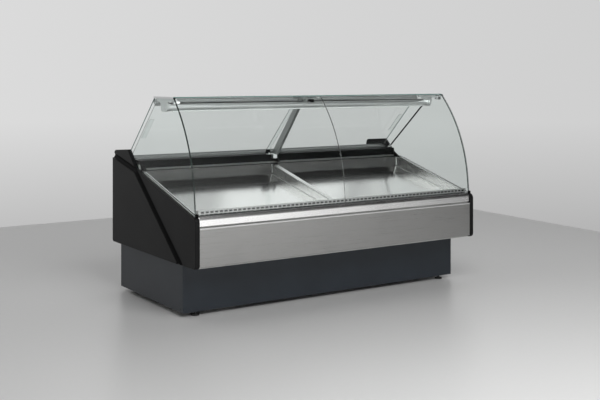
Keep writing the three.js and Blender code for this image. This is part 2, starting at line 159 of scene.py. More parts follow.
def brushed(name, color, roughness, grain=(1, 260, 260), depth=0.00001, change=0.04):
    """Metal with fine lines along the axis whose grain is 1, and broad faint cloudiness."""
    made = Shader(name, color, roughness, 1.0)
    lines = made.noise(2.2, 5, grain, 0.7)
    clouds = made.noise(3.1, 2)
    both = made.node("ShaderNodeMath", {0: lines, 1: clouds}, operation="ADD").outputs[0]
    dark, light = scaled(color, 1 - change), scaled(color, 1 + change)
    made.feed("Base Color", made.tint(both, dark, light, 0.75, 1.25))
    made.feed("Roughness", made.spread(lines, roughness - 0.03, roughness + 0.04))
    return made.bump(lines, 0.12, depth).material


def moulded(name, color, roughness, pits=900, depth=0.00012, change=0.25, specular=0.5):
    """Plastic or powder paint: a fine pitted skin with slight changes of shade."""
    made = Shader(name, color, roughness, Specular_IOR_Level=specular)
    pitting = made.noise(pits, 2)
    clouds = made.noise(5, 3)
    made.feed("Base Color", made.tint(clouds, scaled(color, 1 - change), scaled(color, 1 + change)))
    made.feed("Roughness", made.spread(pitting, roughness - 0.05, roughness + 0.08))
    return made.bump(pitting, 0.35, depth).material


def zinc_plate(name, color):
    """Galvanised sheet with a faint spangle."""
    made = Shader(name, color, 0.42, 0.85)
    inputs = {"Vector": made.coords, "Scale": 90.0}
    spangle = made.node("ShaderNodeTexVoronoi", inputs).outputs["Color"]
    grey = made.node("ShaderNodeRGBToBW", {"Color": spangle}).outputs[0]
    made.feed("Base Color", made.tint(grey, scaled(color, 0.8), scaled(color, 1.15)))
    made.feed("Roughness", made.spread(grey, 0.36, 0.5))
    return made.bump(grey, 0.15, 0.00005).material


def clear_glass(name, color, ior=1.5):
    """Float glass: clear, slightly green, with a faint film. Lamps shine straight through it."""
    made = Shader(name, color, 0.0, 0.0, IOR=ior, Transmission_Weight=1.0)
    film = made.noise(4, 2)
    made.feed("Base Color", made.tint(film, scaled(color, 0.985), color))
    for_lamps = made.node("ShaderNodeLightPath").outputs["Is Shadow Ray"]
    clear = made.node("ShaderNodeBsdfTransparent", {"Color": (*scaled(color, 0.95), 1)}).outputs[0]
    both = made.node("ShaderNodeMixShader", {0: for_lamps, 1: made.bsdf.outputs[0], 2: clear})
    made.tree.links.new(both.outputs[0], made.tree.nodes["Material Output"].inputs[0])
    return made.material


def glass_edge(name, color):
    """The ground edge of a pane, deep green."""
    made = Shader(name, color, 0.16, 0.0, Coat_Weight=0.4)
    ground = made.noise(300, 2)
    made.feed("Base Color", made.tint(ground, scaled(color, 0.8), scaled(color, 1.2)))
    made.feed("Roughness", made.spread(ground, 0.12, 0.24))
    return made.material


def lit_lens(name, color):
    """A ribbed diffuser."""
    made = Shader(name, color, 0.35)
    ribs = made.noise(160, 1, (1, 4, 0))
    made.feed("Base Color", made.tint(ribs, scaled(color, 0.96), color))
    made.feed("Roughness", made.spread(ribs, 0.3, 0.42))
    return made.bump(ribs, 0.3, 0.0002).material


BLACK_END = moulded("black_end", (0.008, 0.0081, 0.0084), 0.42, 700, specular=0.14)
# A darker copy of the end panels' black for the faces in their groove: painted shade.
GROOVE_SHADE_BLACK = moulded("black_groove_painted_shade", (0.004, 0.0042, 0.0043), 0.6, 700, specular=0.08)
BLACK_TRIM = moulded("black_trim", (0.0035, 0.004, 0.004), 0.45, 900, specular=0.07)
RUBBER = moulded("rubber", (0.012, 0.012, 0.012), 0.7, 500)
PANEL_STEEL = brushed("panel_steel", (0.42, 0.418, 0.411), 0.29)
SERVICE_STEEL = brushed("service_steel", (0.42, 0.42, 0.412), 0.36)
# Stainless steel for the nose, its base colour raised so the nose reads bright: painted highlight.
NOSE_HIGHLIGHT_STEEL = brushed("bright_steel", (0.93, 0.93, 0.925), 0.25)
DECK_STEEL = brushed("deck_steel", (0.6, 0.6, 0.595), 0.14, (1, 200, 200))
# A brighter copy of the steel for edge strips, hems, caps and corner strips: painted highlight
# along edges.
EDGE_HIGHLIGHT_STEEL = brushed("edge_steel_painted_highlight", (0.86, 0.865, 0.86), 0.42, change=0.02)
DUCT_STEEL = brushed("duct_steel", (0.11, 0.11, 0.108), 0.22)
STRIP_STEEL = brushed("strip_steel", (0.55, 0.55, 0.545), 0.3)
HEAD_METAL = brushed("head_metal", (0.75, 0.76, 0.76), 0.4, (1, 400, 400))
LINER_STEEL = brushed("liner_steel", (0.7, 0.7, 0.69), 0.25)
SILL_METAL = brushed("sill_metal", (0.3, 0.305, 0.305), 0.5, (1, 400, 400), 0.00002)
ALUMINIUM = brushed("aluminium", (0.86, 0.87, 0.87), 0.34, (1, 400, 400), 0.00002)
POST_METAL = brushed("post_metal", (0.42, 0.435, 0.43), 0.42, (300, 1, 300), 0.00002)
CHROME = brushed("polished_metal", (0.8, 0.81, 0.81), 0.14, (1, 200, 200), change=0.05)
ZINC = zinc_plate("zinc_plate", (0.5, 0.51, 0.52))
PLINTH_PAINT = moulded("plinth_paint", (0.017, 0.023, 0.031), 0.4, 1200, 0.00008, 0.12)
TUB_SKIN = moulded("tub_skin", (0.6, 0.61, 0.59), 0.45, 400, 0.0001, 0.06)
FAN_PLASTIC = moulded("fan_plastic", (0.03, 0.03, 0.034), 0.4, 600)
COPPER = brushed("copper", (0.75, 0.36, 0.22), 0.3, (60, 60, 60), 0.00003)
FINS = brushed("coil_fins", (0.62, 0.63, 0.64), 0.4, (300, 1, 60), 0.00003)
GLASS = clear_glass("curved_glass", (0.965, 0.99, 0.981))
END_GLASS = clear_glass("end_glass", (0.945, 0.977, 0.967), 1.1)
DOOR_GLASS = clear_glass("door_glass", (0.94, 0.964, 0.957), 1.2)
EDGE = glass_edge("glass_edge", (0.009, 0.024, 0.02))
PALE_EDGE = glass_edge("pale_glass_edge", (0.07, 0.19, 0.165))
LENS = lit_lens("lamp_lens", (0.8, 0.82, 0.81))
DISPLAY = glass_edge("display_window", (0.02, 0.004, 0.004))

# ---- shape tools

ARC_STEP = math.radians(9)
SHEET_BEVEL = 0.0004


def rounded(corners, closed=True):
    """The outline through the corners, with an arc at each corner that has a radius."""
    points = []
    count = len(corners)
    for i, corner in enumerate(corners):
        here = Vector(corner[:2])
        radius = corner[2] if len(corner) > 2 else 0
        if radius == 0 or (not closed and i in (0, count - 1)):
            points.append(here)
            continue
        inward = (Vector(corners[i - 1][:2]) - here).normalized()
        outward = (Vector(corners[(i + 1) % count][:2]) - here).normalized()
        half = inward.angle(outward) / 2
        centre = here + (inward + outward).normalized() * (radius / math.sin(half))
        start = here + inward * (radius / math.tan(half)) - centre
        turn = math.copysign(math.pi - 2 * half, outward.x * inward.y - outward.y * inward.x)
        steps = max(2, math.ceil(abs(turn) / ARC_STEP))
        for k in range(steps + 1):
            points.append(centre + Matrix.Rotation(turn * k / steps, 2) @ start)
    return points


def offset(points, distance, closed=True):
    """The outline moved to its left by distance, corners mitred."""
    moved = []
    count = len(points)
    for i, here in enumerate(points):
        before = here - points[i - 1] if closed or i > 0 else points[1] - here
        after = points[(i + 1) % count] - here if closed or i < count - 1 else here - points[i - 1]
        first = Vector((-before.y, before.x)).normalized()
        second = Vector((-after.y, after.x)).normalized()
        middle = (first + second).normalized()
        moved.append(here + middle * (distance / max(middle.dot(first), 0.3)))
    return moved


def rectangle(y0, y1, z0, z1):
    return rounded([(y0, z0), (y1, z0), (y1, z1), (y0, z1)])


def sheet(corners, thickness):
    """A folded sheet's outline: the open line through the corners and its offset to the right."""
    line = rounded(corners, closed=False)
    return line + offset(line, -thickness, closed=False)[::-1]


def anticlockwise(points):
    area = sum(a.x * b.y - b.x * a.y for a, b in zip(points, points[1:] + points[:1]))
    return points if area > 0 else points[::-1]


def prism(bm, outline, x0, x1, bevel=0.0, steps=2):
    """A closed (y, z) outline pushed along X, with its end edges rounded."""
    outline = anticlockwise(list(outline))
    rings = []
    for k in range(steps + 1) if bevel else (steps,):
        turn = QUARTER * k / steps
        inset = bevel * (1 - math.sin(turn))
        ring = offset(outline, inset) if inset > 1e-9 else outline
        rings.append((bevel * (1 - math.cos(turn)), ring))
    sections = [(x0 + d, ring) for d, ring in rings]
    sections += [(x1 - d, ring) for d, ring in reversed(rings)]
    skin(bm, [[bm.verts.new((x, FRONT + p.x, p.y)) for p in ring] for x, ring in sections])


def skin(bm, loops):
    """Quads between the loops, and a face over the first and the last one."""
    for a, b in zip(loops, loops[1:]):
        for i in range(len(a)):
            j = (i + 1) % len(a)
            bm.faces.new((a[i], a[j], b[j], b[i]))
    bm.faces.new(loops[0][::-1])
    bm.faces.new(loops[-1])


def block(bm, low, high, bevel=0.001):
    """A box with rounded edges."""
    low, high = Vector(low), Vector(high)
    place = Matrix.Translation((low + high) / 2) @ Matrix.Diagonal((*(high - low), 1))
    verts = bmesh.ops.create_cube(bm, size=1, matrix=place)["verts"]
    edges = list({edge for v in verts for edge in v.link_edges})
    bmesh.ops.bevel(bm, geom=edges, offset=bevel, segments=2, affect="EDGES", profile=0.5)


def turned(bm, profile, centre, axis=(0, 0, 1), segments=32):
    """A profile of (radius, distance along the axis) turned about an axis through centre."""
    frame_of = Vector(axis).normalized().to_track_quat("Z", "Y").to_matrix()
    loops = []
    for radius, height in profile:
        ring = []
        for k in range(segments):
            angle = 2 * math.pi * k / segments
            spot = Vector((radius * math.cos(angle), radius * math.sin(angle), height))
            ring.append(bm.verts.new(Vector(centre) + frame_of @ spot))
        loops.append(ring)
    skin(bm, loops)


def tube(bm, points, radius, segments=14):
    """A round bar or pipe along a line of points."""
    points = [Vector(p) for p in points]
    loops = []
    side = None
    for i, here in enumerate(points):
        ahead = (points[min(i + 1, len(points) - 1)] - points[max(i - 1, 0)]).normalized()
        if side is None:
            side = ahead.orthogonal().normalized()
        side = (side - ahead * side.dot(ahead)).normalized()
        up = ahead.cross(side)
        ring = []
        for k in range(segments):
            angle = 2 * math.pi * k / segments
            spoke = side * math.cos(angle) + up * math.sin(angle)
            ring.append(bm.verts.new(here + spoke * radius))
        loops.append(ring)
    skin(bm, loops)


def piece(name, bm, material, replaces=None, body="root", sharp=35):
    """Turns the mesh into a piece that rides on a body and may replace a CAD node."""
    bmesh.ops.recalc_face_normals(bm, faces=bm.faces)
    mesh = bpy.data.meshes.new(name)
    bm.to_mesh(mesh)
    bm.free()
    materials = material if isinstance(material, (list, tuple)) else [material]
    for entry in materials:
        mesh.materials.append(entry)
    mesh.polygons.foreach_set("use_smooth", [True] * len(mesh.polygons))
    mesh.set_sharp_from_angle(angle=math.radians(sharp))
    obj = scene_link(bpy.data.objects.new(name, mesh))
    even = obj.modifiers.new("even_normals", "WEIGHTED_NORMAL")
    even.keep_sharp = True
    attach(obj, body)
    if replaces:
        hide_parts(replaces)
    return obj


def bent_sheet(name, corners, thickness, x, material, replaces=None):
    bm = bmesh.new()
    prism(bm, sheet(corners, thickness), *x, bevel=SHEET_BEVEL, steps=1)
    piece(name, bm, material, replaces)


def profile_bar(name, outline, x, material, replaces, bevel=0.001):
    bm = bmesh.new()
    prism(bm, rounded(outline), *x, bevel=bevel)
    piece(name, bm, material, replaces)


def screw(bm, centre, axis, radius=0.005, height=0.0025):
    """A domed screw head with a round socket."""
    dome = [(radius, 0), (radius, height * 0.4), (radius * 0.86, height * 0.85)]
    dome += [(radius * 0.6, height), (radius * 0.52, height), (radius * 0.48, height * 0.4)]
    turned(bm, dome, centre, axis, 18)


def bolt(bm, centre, axis, radius=0.008, height=0.006):
    """A hexagon head on a washer."""
    turned(bm, [(radius * 1.35, 0), (radius * 1.35, 0.0016), (radius, 0.0018)], centre, axis, 24)
    top = Vector(centre) + Vector(axis).normalized() * 0.0017
    turned(bm, [(radius, 0), (radius, height * 0.85), (radius * 0.88, height)], top, axis, 6)


# ---- end panels

FLANK = [
    (-0.004, 0.306, 0.024), (1.146, 0.306, 0.018), (1.146, 0.899, 0.03), (0.926, 0.915, 0.012),
    (0.806, 0.802, 0.03), (0.72, rim_z(0.72)), (-0.004, rim_z(-0.004), 0.034),
]
FIELD = [(0.184, 0.3075, 0.012), (1.1455, 0.3075, 0.018), (1.1455, 0.857, 0.01), (0.8, 0.785, 0.07)]
CREASE = [(0.15, 0.282), (0.8, 0.785, 0.07), (1.2, 0.868)]
CREASE_SHIFT = 0.012
GROOVE = 0.017  # the groove's radius


def solid_of(build):
    bm = bmesh.new()
    build(bm)
    bmesh.ops.recalc_face_normals(bm, faces=bm.faces)
    mesh = bpy.data.meshes.new("tool")
    bm.to_mesh(mesh)
    bm.free()
    return scene_link(bpy.data.objects.new("tool", mesh))


def carve(base, tools):
    """The base object's mesh after joining or cutting it with (operation, object) tools."""
    for operation, tool in tools:
        step = base.modifiers.new("step", "BOOLEAN")
        step.operation = operation
        step.object = tool
        step.solver = "EXACT"
    bpy.context.view_layer.update()
    result = bmesh.new()
    result.from_mesh(base.evaluated_get(bpy.context.evaluated_depsgraph_get()).to_mesh())
    for obj in [base] + [tool for _, tool in tools]:
        bpy.data.objects.remove(obj)
    return result


def end_panel(hand, side):
    """A moulded end: flank, raised field with a round edge, and a groove along its crease, painted
    dark as shade.
    """

    def flank(bm):
        prism(bm, rounded(FLANK), *span_x(side, END_INNER, FLANK_X), bevel=0.004, steps=3)

    def field(bm):
        span = span_x(side, FLANK_X - 0.009, END_OUTER)
        prism(bm, rounded(FIELD), *span, bevel=0.005, steps=3)

    line = offset(rounded(CREASE, closed=False), CREASE_SHIFT, closed=False)

    def groove(bm):
        tube(bm, [(side * (FLANK_X + 0.009), FRONT + p.x, p.y) for p in line], GROOVE, 24)

    tools = [("UNION", solid_of(field)), ("DIFFERENCE", solid_of(groove))]
    bm = carve(solid_of(flank), tools)
    # Faces inside the groove take the darker black: painted shade along the crease.
    for face in bm.faces:
        spot = face.calc_center_median()
        away = distance(Vector((spot.y - FRONT, spot.z)), line)
        if abs(spot.x) > FLANK_X - 0.013 and away < GROOVE * 0.96:
            face.material_index = 1
    finishes = [BLACK_END, GROOVE_SHADE_BLACK]
    piece(f"end_moulding_{hand}", bm, finishes, f"end_panel_{hand}", sharp=28)


def distance(point, line):
    """The distance from a point to a line of points."""
    best = 1.0
    for a, b in zip(line, line[1:]):
        t = min(max((point - a).dot(b - a) / (b - a).length_squared, 0), 1)
        best = min(best, (point - a - (b - a) * t).length)
    return best


# ---- front

NOSE = [
    (0.005, 0.541, 0.0025), (0.0095, 0.605, 0.033), (0.0545, 0.605, 0.0015), (0.0545, 0.5523),
    (0.0197, 0.5523), (0.0197, 0.541, 0.001),
]


def front():
    along = (-BODY_X, BODY_X)
    panel = [(0.017, 0.315), (0, 0.315, 0.0032), (0, 0.533, 0.0055), (0.017, 0.533)]
    bent_sheet("front_skin", panel, 0.0015, along, PANEL_STEEL, "front_panel")
    profile_bar("nose_profile", NOSE, along, NOSE_HIGHLIGHT_STEEL, "front_nose")
    # A thin strip of the brighter steel along the panel's top: painted highlight on its rounded
    # edge.
    lip = [
        (0.0005, 0.5245), (-0.0006, 0.5255, 0.0005), (-0.0006, 0.5325, 0.0012),
        (0.003, 0.5345, 0.001),
    ]
    bent_sheet("panel_lip_painted_highlight", lip, 0.0006, along, EDGE_HIGHLIGHT_STEEL)
    grille()
    bm = bmesh.new()
    clip = [(0.009, 0.594, 0.006), (0.012, 0.612, 0.003), (0.019, 0.612), (0.019, 0.594)]
    pane_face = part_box("end_glass_right")[1].x
    for _, side in SIDES:
        prism(bm, rounded(clip), *span_x(side, END_INNER, pane_face + 0.003), 0.002)
    piece("pane_foot_clips", bm, BLACK_TRIM)


def grille():
    """The air outlet strip: a folded lip with a row of black blocks where its slots are, painted
    shade.
    """
    low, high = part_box("front_air_grille")
    lip = [(0.036, 0.6053), (0.036, 0.629, 0.002), (0.0595, 0.625, 0.003), (0.0595, 0.56)]
    along = (low.x, high.x)
    bent_sheet("grille_sheet", lip, 0.0012, along, STRIP_STEEL, "front_air_grille")
    # Black blocks on the strip's face stand for the slots: painted shade, the slots are not cut.
    bm = bmesh.new()
    pitch, half = 0.03, 0.01
    for k in range(66):
        x = -0.975 + pitch * k
        block(bm, (x - half, FRONT + 0.0354, 0.61), (x + half, FRONT + 0.037, 0.6205), 0.0006)
    piece("grille_slot_shade", bm, BLACK_TRIM)


def dress(material, *nodes):
    """Gives carried-over CAD nodes a material."""
    for node in nodes:
        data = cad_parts[node].data
        data.materials.clear()
        data.materials.append(material)


# ---- glass

GLASS_T = 0.008
CUT_EDGE = 0.0008  # the arris round a pane
PANE_FOOT = (0.020, 0.6065)
PANE_LOW, PANE_HIGH = math.radians(5.7), math.radians(41)
PANE_RADIUS = 0.910
PANE_STRAIGHTS = (0.092, 0.056)


def pane_line(inset=0.0, foot_z=PANE_FOOT[1], steps=40):
    """The curved pane's outline from foot to top, set in by an amount: straight, arc, straight."""
    start = Vector(PANE_FOOT) + PANE_STRAIGHTS[0] * Vector((math.sin(PANE_LOW), math.cos(PANE_LOW)))
    centre = start + PANE_RADIUS * Vector((math.cos(PANE_LOW), -math.sin(PANE_LOW)))
    reach = PANE_RADIUS - inset
    arc = []
    for k in range(steps + 1):
        angle = PANE_LOW + (PANE_HIGH - PANE_LOW) * k / steps
        arc.append(centre + reach * Vector((-math.cos(angle), math.sin(angle))))
    drop = (arc[0].y - foot_z) / math.cos(PANE_LOW)
    foot = arc[0] - drop * Vector((math.sin(PANE_LOW), math.cos(PANE_LOW)))
    top = arc[-1] + PANE_STRAIGHTS[1] * Vector((math.sin(PANE_HIGH), math.cos(PANE_HIGH)))
    return [foot, *arc, top]


def paint_edges(bm, finish_of):
    bmesh.ops.recalc_face_normals(bm, faces=bm.faces)
    for face in bm.faces:
        face.material_index = int(finish_of(face))


def front_pane(hand):
    body = f"front_glass_{hand}"
    low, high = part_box(body)
    bm = bmesh.new()
    line = pane_line() + pane_line(GLASS_T)[::-1]
    prism(bm, line, low.x, high.x, bevel=CUT_EDGE, steps=1)
    foot, top = PANE_FOOT[1] + 0.0005, high.z - 0.0062

    def is_edge(face):
        """True on the outer side edge and along the foot and the top; the joint stays clear."""
        spot = face.calc_center_median()
        xs = [v.co.x for v in face.verts]
        if max(xs) - min(xs) <= 0.1 and abs(spot.x) > 0.5:
            return True
        ends = [edge for edge in face.edges if abs(edge.verts[0].co.x - edge.verts[1].co.x) < 1e-6]
        narrow = sum(edge.calc_length() for edge in ends) < 0.0165
        return narrow and (spot.z < foot or spot.z > top)

    paint_edges(bm, is_edge)
    piece(f"curved_pane_{hand}", bm, [GLASS, EDGE], body, body, 20)


def end_pane_finish(face):
    """Clear on both faces and underneath, dark along the front curve, pale along the door slope."""
    if abs(face.normal.x) > 0.8 or face.normal.z < -0.3:
        return 0
    return 2 if face.normal.y > 0.5 else 1


def on_slope(u, v):
    """A point on the rear door slope: u square to it, outwards, and v up along it."""
    across = Vector((math.cos(DOOR_ANGLE), math.sin(DOOR_ANGLE)))
    along = Vector((-math.sin(DOOR_ANGLE), math.cos(DOOR_ANGLE)))
    return Vector(DOOR_FOOT) + u * across + v * along


def slope_box(u, v):
    return [on_slope(u[0], v[0]), on_slope(u[1], v[0]), on_slope(u[1], v[1]), on_slope(u[0], v[1])]


def end_pane(hand):
    low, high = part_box(f"end_glass_{hand}")
    curve = pane_line(GLASS_T + 0.002, 0.6)
    seat = [(0.806, 0.8025, 0.028)]
    seat += [(y, rim_z(y) + 0.0006) for y in (0.72, curve[0].x)]
    foot = on_slope(0, 0)
    top_rear = foot.x - (high.z - foot.y) * math.tan(DOOR_ANGLE)
    lower = rounded([(0.92, 0.91), *seat, (0, 0.5)], closed=False)[1:-1]
    outline = [*lower, *curve[1:], Vector((0.3, high.z)), Vector((top_rear, high.z)), foot]
    bm = bmesh.new()
    prism(bm, outline, low.x, high.x, bevel=CUT_EDGE, steps=1)
    paint_edges(bm, end_pane_finish)
    finishes = [END_GLASS, EDGE, PALE_EDGE]
    piece(f"end_pane_{hand}", bm, finishes, f"end_glass_{hand}", sharp=20)


def top_pane():
    low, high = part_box("top_glass")
    bm = bmesh.new()
    block(bm, low, high, 0.0012)
    paint_edges(bm, lambda face: abs(face.normal.y) > 0.6)
    piece("top_pane", bm, [GLASS, PALE_EDGE], "top_glass")


def glass():
    for hand, _ in SIDES:
        front_pane(hand)
        end_pane(hand)
        door(hand)
    top_pane()


def door(hand):
    """A sliding pane and its clear bonded pull."""
    body = f"rear_door_{hand}"
    low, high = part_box(body)
    track, half = DOOR_TRACKS[hand], 0.0025
    bm = bmesh.new()
    pane = slope_box((track - half, track + half), (-0.062, 0.47))
    prism(bm, pane, low.x, high.x, bevel=0.0006, steps=1)
    piece(f"sliding_pane_{hand}", bm, DOOR_GLASS, body, body, 20)
    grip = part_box(f"door_pull_{hand}")
    inner, outer = track + 0.0028, track + 0.0055
    corners = ((inner, 0.12), (outer, 0.123), (outer, 0.297), (inner, 0.3))
    bm = bmesh.new()
    pull = rounded([(*on_slope(u, v), 0.001) for u, v in corners])
    prism(bm, pull, grip[0].x, grip[1].x, bevel=0.0008)
    piece(f"pull_handle_{hand}", bm, DOOR_GLASS, f"door_pull_{hand}", body)


# ---- canopy metalwork


def canopy():
    low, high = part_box("canopy_tube")
    centre = Vector((low.x, (low.y + high.y) / 2, (low.z + high.z) / 2))
    radius, length = (high.z - low.z) / 2, high.x - low.x
    bm = bmesh.new()
    rim = 0.002
    profile = [(radius - rim, 0), (radius, rim), (radius, length - rim), (radius - rim, length)]
    turned(bm, profile, centre, (1, 0, 0), 48)
    piece("lamp_tube", bm, ALUMINIUM, "canopy_tube")
    bm = bmesh.new()
    gasket = [(-0.009, 0.0185), (-0.008, 0.0242, 0.002), (0.008, 0.0242, 0.002), (0.009, 0.0185)]
    middle_y = centre.y - FRONT
    outline = rounded([(middle_y + y, centre.z + z, *corner) for y, z, *corner in gasket])
    for x0, x1 in ((low.x + 0.03, -0.036), (-0.009, high.x - 0.03)):
        prism(bm, outline, x0, x1, bevel=0.001)
    piece("tube_top_gasket", bm, BLACK_TRIM)
    bm = bmesh.new()
    for _, side in SIDES:
        block(bm, *corners_x(side, 1.0253, 1.0272, (-0.272, 1.2445), (-0.006, 1.2565)), 0.0006)
    piece("top_pane_trims", bm, ALUMINIUM)
    for hand, side in SIDES:
        bracket(hand, side)
    middle_bracket()


BRACKET = [
    (0.2985, 1.2496, 0.002), (0.2985, 1.232, 0.004), (0.392, 1.226, 0.008),
    (0.402, 1.168, 0.02), (0.478, 1.168, 0.016), (0.49, 1.226, 0.01), (0.52, 1.226, 0.006),
    (0.534, 1.2496, 0.002),
]


def bracket(hand, side):
    low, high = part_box(f"end_bracket_{hand}")
    along, node = (low.x, high.x), f"end_bracket_{hand}"
    profile_bar(f"glass_bracket_{hand}", BRACKET, along, ALUMINIUM, node, 0.0015)
    bm = bmesh.new()
    inner = low.x if side > 0 else high.x
    for y, z, radius in ((0.52, 1.236, 0.0085), (0.325, 1.24, 0.006), (0.44, 1.192, 0.006)):
        screw(bm, (inner, FRONT + y, z), (-side, 0, 0), radius, 0.003)
    piece(f"bracket_screws_{hand}", bm, ZINC)


def middle_bracket():
    low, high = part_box("middle_bracket")
    bm = bmesh.new()
    bar = [(0.2985, 1.2496), (0.2985, 1.235, 0.004), (0.514, 1.229, 0.004), (0.534, 1.2496)]
    prism(bm, rounded(bar), -0.008, 0.008, bevel=0.0015)
    block(bm, (low.x, FRONT + 0.42, 1.2292), (-0.004, FRONT + 0.512, high.z - 0.0002), 0.0015)
    block(bm, (-0.022, FRONT + 0.428, 1.2134), (-0.006, FRONT + 0.452, 1.23), 0.002)
    piece("middle_glass_bracket", bm, POST_METAL, "middle_bracket")
    bm = bmesh.new()
    block(bm, (0.012, FRONT + 0.4245, 1.2), (0.042, FRONT + 0.4555, 1.226), 0.004)
    piece("tube_saddle", bm, BLACK_TRIM)
    bm = bmesh.new()
    block(bm, (-0.017, FRONT + 0.2925, 1.236), (0.017, FRONT + 0.32, 1.2495), 0.002)
    low, high = (FRONT + 0.299, 1.213), (FRONT + 0.322, 1.2315)
    for _, side in SIDES:
        block(bm, *corners_x(side, 0.982, 1.0155, low, high), 0.002)
    piece("glass_clamps", bm, CHROME)
    bm = bmesh.new()
    hinge = (-0.281, 1.247)
    for _, side in SIDES:
        tube(bm, corners_x(side, 1.0165, 1.0275, hinge, hinge), 0.005)
    piece("hinge_pins", bm, BLACK_TRIM)


def corners_x(side, near, far, low, high):
    """Two corners of a box between two distances from the middle, on one side."""
    x0, x1 = span_x(side, near, far)
    return (x0, *low), (x1, *high)


def post():
    def lean(bm):
        shape = [
            (0.75, 0.8513, 0.004), (0.846, 0.8513), (0.846, 0.8583, 0.003),
            (0.794, 0.873, 0.012), (0.482, 1.228), (0.4301, 1.228), (0.728, 0.873, 0.012),
        ]
        prism(bm, rounded(shape), -0.047, -0.027, bevel=0.0015)

    def round_tube(bm):
        tube(bm, [(-0.06, -0.131, 1.192), (-0.02, -0.131, 1.192)], 0.0214, 40)

    bm = carve(solid_of(lean), [("DIFFERENCE", solid_of(round_tube))])
    leg = piece("canopy_post", bm, POST_METAL, "middle_post")
    leg.visible_glossy = False  # or its mirror image is a dark streak in the deck
    bm = bmesh.new()
    block(bm, (-0.094, FRONT + 0.7715, 0.8518), (-0.0475, FRONT + 0.803, 0.8558), 0.0012)
    block(bm, (-0.053, FRONT + 0.7745, 0.8235), (-0.0215, FRONT + 0.8, 0.8505), 0.002)
    bolt(bm, (-0.078, FRONT + 0.787, 0.8556), (0, 0, 1), 0.006, 0.005)
    piece("post_foot", bm, ALUMINIUM)
    bm = bmesh.new()
    block(bm, (-0.0205, FRONT + 0.7735, 0.798), (-0.002, FRONT + 0.8, 0.858), 0.003)
    wedge = [(0.79, 0.8556), (0.835, 0.8556), (0.812, 0.885, 0.004)]
    prism(bm, rounded(wedge), -0.0845, -0.0585, bevel=0.002)
    piece("post_foot_block", bm, BLACK_TRIM)


def conduit():
    low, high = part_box("lamp_conduit")
    x, radius = (low.x + high.x) / 2, 0.0035
    foot = Vector((x, high.y - radius, low.z + radius))
    head = Vector((x, low.y + radius, high.z - radius))
    bm = bmesh.new()
    tube(bm, [foot, head], 0.005, 18)
    piece("lamp_cable_sleeve", bm, BLACK_TRIM, "lamp_conduit")
    bm = bmesh.new()
    ferrule = [
        (0.0055, 0.002), (0.009, 0.002), (0.009, 0.012), (0.0068, 0.014), (0.0068, 0.024),
        (0.0055, 0.025),
    ]
    turned(bm, ferrule, foot, (head - foot).normalized(), 20)
    piece("sleeve_ferrule", bm, CHROME)


# ---- display well


PLATE = 0.0015
PAN_DEPTH = 0.02
HEM, HEM_WIDTH = 0.0012, 0.0035
LEDGE = (-0.026, -0.0204)  # the bottom and the top of the ledges that carry the pans, from the deck
CORNER_HIGHLIGHT = (0.725, 0.786)  # the foot and the head of thin bright strips in the well's upright corners: painted highlight


def deck_pan(hand):
    body = f"deck_pan_{hand}"
    low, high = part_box(body)
    front_y, rear_y = DECK
    folded = [on_deck(front_y, -PAN_DEPTH), (*on_deck(front_y), 0.003)]
    folded += [(*on_deck(rear_y), 0.003), on_deck(rear_y, -PAN_DEPTH)]
    bm = bmesh.new()
    prism(bm, sheet(folded, PLATE), low.x, high.x, bevel=0.0006, steps=1)
    y0, y1 = front_y + 0.002, rear_y - 0.002
    for x in (low.x, high.x - PLATE):
        prism(bm, deck_band(y0, y1, -PAN_DEPTH, -PLATE), x, x + PLATE)
    piece(f"deck_sheet_{hand}", bm, DECK_STEEL, body, body)
    # Raised beads of the brighter steel along the pan's side edges: painted highlight along the
    # edges.
    bm = bmesh.new()
    hem = [on_deck(y0 + 0.004, HEM), on_deck(y1 - 0.004, HEM)]
    for x in (low.x, high.x - HEM_WIDTH):
        prism(bm, sheet(hem, HEM), x, x + HEM_WIDTH, bevel=0.0004)
    piece(f"deck_hem_highlight_{hand}", bm, EDGE_HIGHLIGHT_STEEL, body=body)


def liner(hand, side):
    wall = [
        (0.06, 0.38), (0.803, 0.395), (0.803, 0.776), (0.788, 0.782, 0.004),
        (0.712, rim_z(0.712) + 0.0015), (0.06, rim_z(0.06) + 0.0015),
    ]
    bm = bmesh.new()
    prism(bm, rounded(wall), *span_x(side, LINER_X + 0.0003, BODY_X), bevel=0.0008, steps=1)
    ledge = deck_band(DECK[0] + 0.006, 0.74, *LEDGE)
    prism(bm, ledge, *span_x(side, LINER_X - 0.018, LINER_X + 0.002), bevel=0.0006, steps=1)
    piece(f"liner_wall_{hand}", bm, LINER_STEEL, f"side_liner_{hand}")
    # The liner's top edge in the brighter steel: painted highlight along the rim.
    bm = bmesh.new()
    edge = [(0.05, rim_z(0.05) + 0.003), (0.712, rim_z(0.712) + 0.003, 0.02), (0.789, 0.785)]
    prism(bm, sheet(edge, 0.006), *span_x(side, LINER_X - 0.0015, BODY_X + 0.0004), bevel=0.0012)
    # A thin strip of the brighter steel in the rear corner: painted highlight.
    prism(bm, rectangle(0.7725, 0.7735, *CORNER_HIGHLIGHT), *span_x(side, LINER_X - 0.003, LINER_X))
    piece(f"liner_rim_highlight_{hand}", bm, EDGE_HIGHLIGHT_STEEL)
    bm = bmesh.new()
    cheek = rounded([(0.738, 0.797), (0.8, 0.788), (0.8, 0.8235, 0.002), (0.782, 0.8235, 0.004)])
    prism(bm, cheek, *span_x(side, LINER_X - 0.016, LINER_X - 0.001), bevel=0.0015)
    piece(f"duct_cheek_{hand}", bm, BLACK_TRIM)


